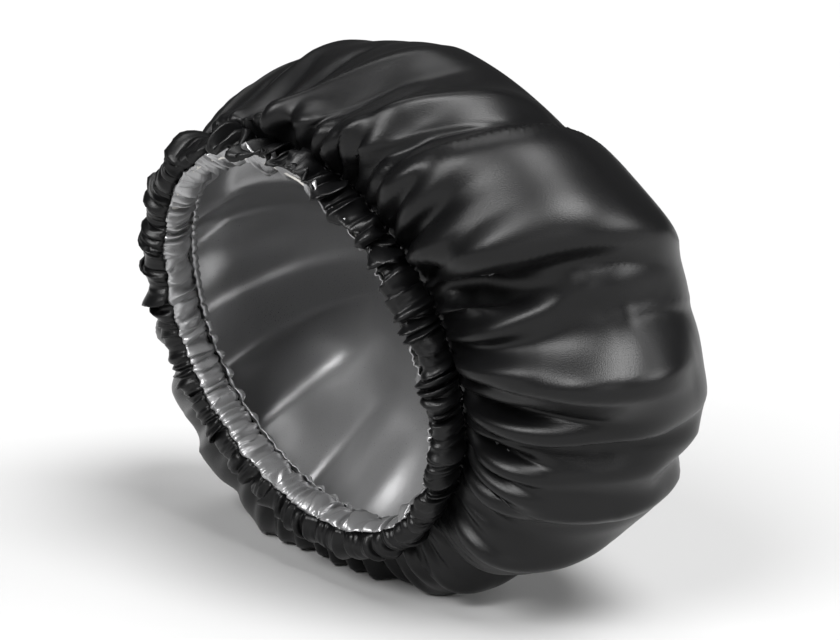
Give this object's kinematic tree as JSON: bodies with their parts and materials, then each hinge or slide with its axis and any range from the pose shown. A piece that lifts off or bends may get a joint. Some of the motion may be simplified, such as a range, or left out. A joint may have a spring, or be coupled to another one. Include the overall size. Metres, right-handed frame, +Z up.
{
  "type": "sleep bonnet",
  "caption": "Puffy satin sleep bonnet with a contrast satin lining, gathered into an elasticated casing, lying on its side.",
  "frame": {"origin": "middle of the bonnet's outline on the surface that it lies on", "axes": "+Z up from the surface; +X sideways along the widest way; the opening faces -Y and looks down by 16 degrees, the crown lies towards +Y"},
  "size_m": [0.3544, 0.1762, 0.2643],
  "materials": {
    "shell_satin": "black satin, soft sheen",
    "lining_satin": "silver grey satin, soft sheen",
    "elastic": "woven elastic, matt"
  },
  "bodies": {
    "root": {"crown_shell": "shell_satin", "crown_lining": "lining_satin", "casing_shell": "shell_satin", "casing_lining": "lining_satin", "elastic": "elastic"}
  },
  "joints": []
}
